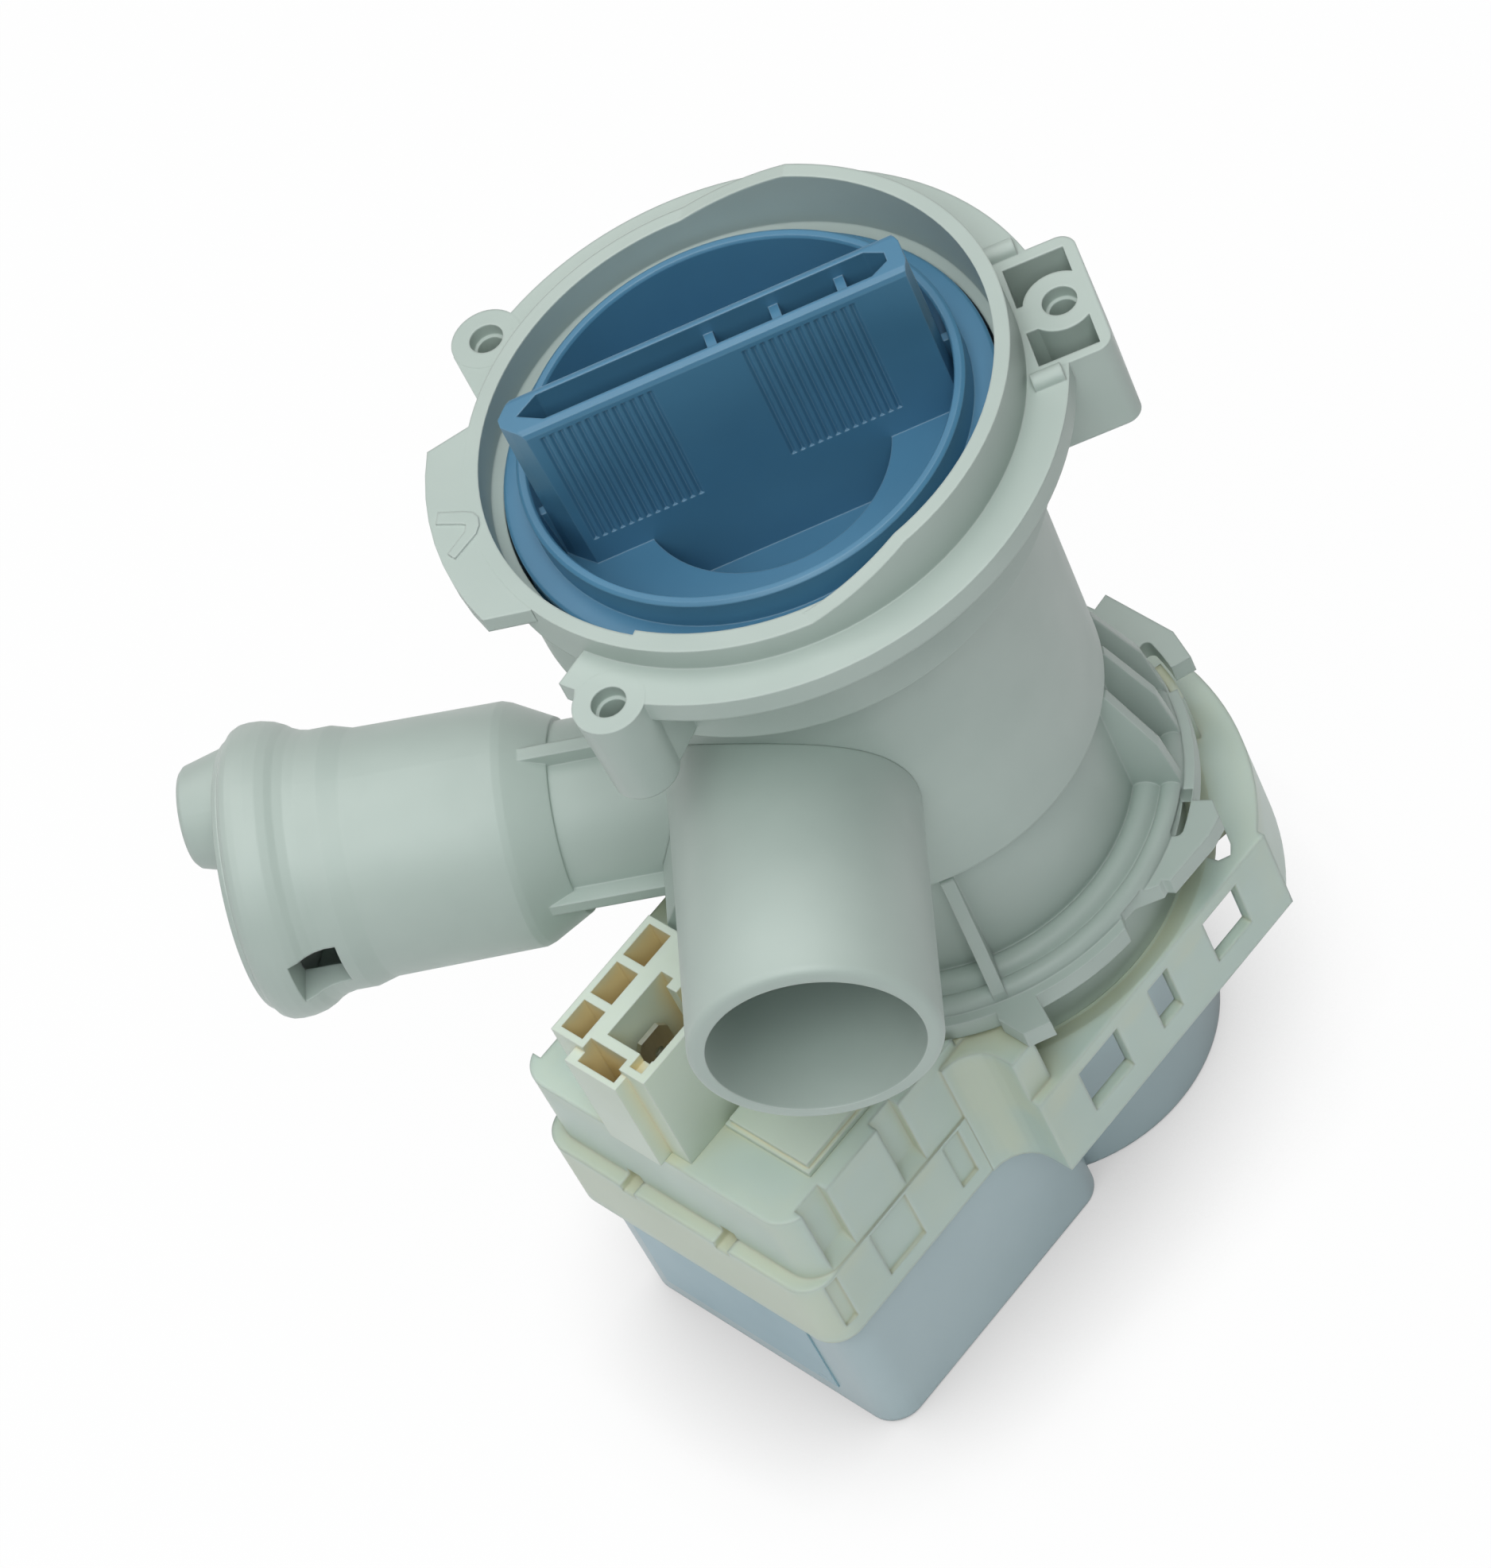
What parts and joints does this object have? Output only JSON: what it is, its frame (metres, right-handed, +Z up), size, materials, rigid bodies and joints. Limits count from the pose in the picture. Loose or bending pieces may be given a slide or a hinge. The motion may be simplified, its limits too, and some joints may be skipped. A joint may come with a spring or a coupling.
{
  "type": "washer drain pump",
  "caption": "Washer drain pump with a screw-in filter cap, side inlet stub, socketed outlet with check flap, and a synchronous motor with a blade connector.",
  "frame": {"origin": "point on the pump axis in the plane that the motor cover stands on", "axes": "+Z up along the pump axis towards the filter cap, -Y along the inlet stub, -X on the side of the outlet; the motor box lies towards -X and -Y at 225 degrees"},
  "size_m": [0.1593, 0.1166, 0.1737],
  "materials": {
    "housing_plastic": "satin, light grey with a green cast",
    "frame_plastic": "satin, cream and slightly translucent",
    "cover_plastic": "satin grey",
    "connector_plastic": "satin off-white",
    "cap_plastic": "semi-gloss blue",
    "can_plastic": "satin",
    "impeller_plastic": "satin white",
    "bobbin_plastic": "satin white",
    "label_film": "plain blue-grey film",
    "rubber": "matte black",
    "steel": "ground",
    "terminal_metal": "tinned",
    "bearing_carbon": "dark sliding material",
    "magnet_ferrite": "sintered, dull",
    "laminations": "stacked sheet",
    "copper_wire": "enamelled wire"
  },
  "bodies": {
    "pump": {"pump_housing": "housing_plastic", "filter_housing": "housing_plastic", "cap_housing": "housing_plastic", "inlet_stub": "housing_plastic", "outlet_duct": "housing_plastic", "outlet_branch": "housing_plastic", "outlet_spout": "housing_plastic", "flap_pin": "steel", "housing_seal": "rubber", "rotor_can": "can_plastic", "front_bearing": "bearing_carbon", "rear_bearing": "bearing_carbon", "front_cushion": "rubber", "rear_cushion": "rubber", "shaft_seal": "rubber", "stator_core": "laminations", "bobbin_left": "bobbin_plastic", "bobbin_right": "bobbin_plastic", "winding_left": "copper_wire", "winding_right": "copper_wire", "motor_frame": "frame_plastic", "connector_housing": "connector_plastic", "blade_terminals": "terminal_metal", "connector_lid": "connector_plastic", "stator_cover": "cover_plastic", "rating_plate": "label_film"},
    "seal": {"cap_seal": "rubber"},
    "cap": {"filter_cap": "cap_plastic", "filter_comb": "cap_plastic"},
    "rotor": {"rotor_shaft": "steel", "rotor_magnet": "magnet_ferrite", "drive_dog": "can_plastic"},
    "impeller": {"impeller": "impeller_plastic"},
    "flap": {"check_flap": "rubber"}
  },
  "joints": [
    {"name": "cap_lift", "type": "slide", "parent": "pump", "child": "seal", "axis": [0, 0, 1], "range_m": [0, 0.055]},
    {"name": "cap_turn", "type": "hinge", "parent": "seal", "child": "cap", "pos_m": [0, 0, 0.145], "axis": [0, 0, 1], "range_deg": [0, 120]},
    {"name": "rotor_spin", "type": "hinge", "parent": "pump", "child": "rotor", "pos_m": [0, 0, 0.025], "axis": [0, 0, 1], "continuous": true},
    {"name": "impeller_play", "type": "hinge", "parent": "rotor", "child": "impeller", "pos_m": [0, 0, 0.052], "axis": [0, 0, 1], "range_deg": [-270, 0]},
    {"name": "flap_swing", "type": "hinge", "parent": "pump", "child": "flap", "pos_m": [-0.06084, 0.00159, 0.09231], "axis": [0.0262, 0.9997, 0], "range_deg": [0, 50]}
  ]
}
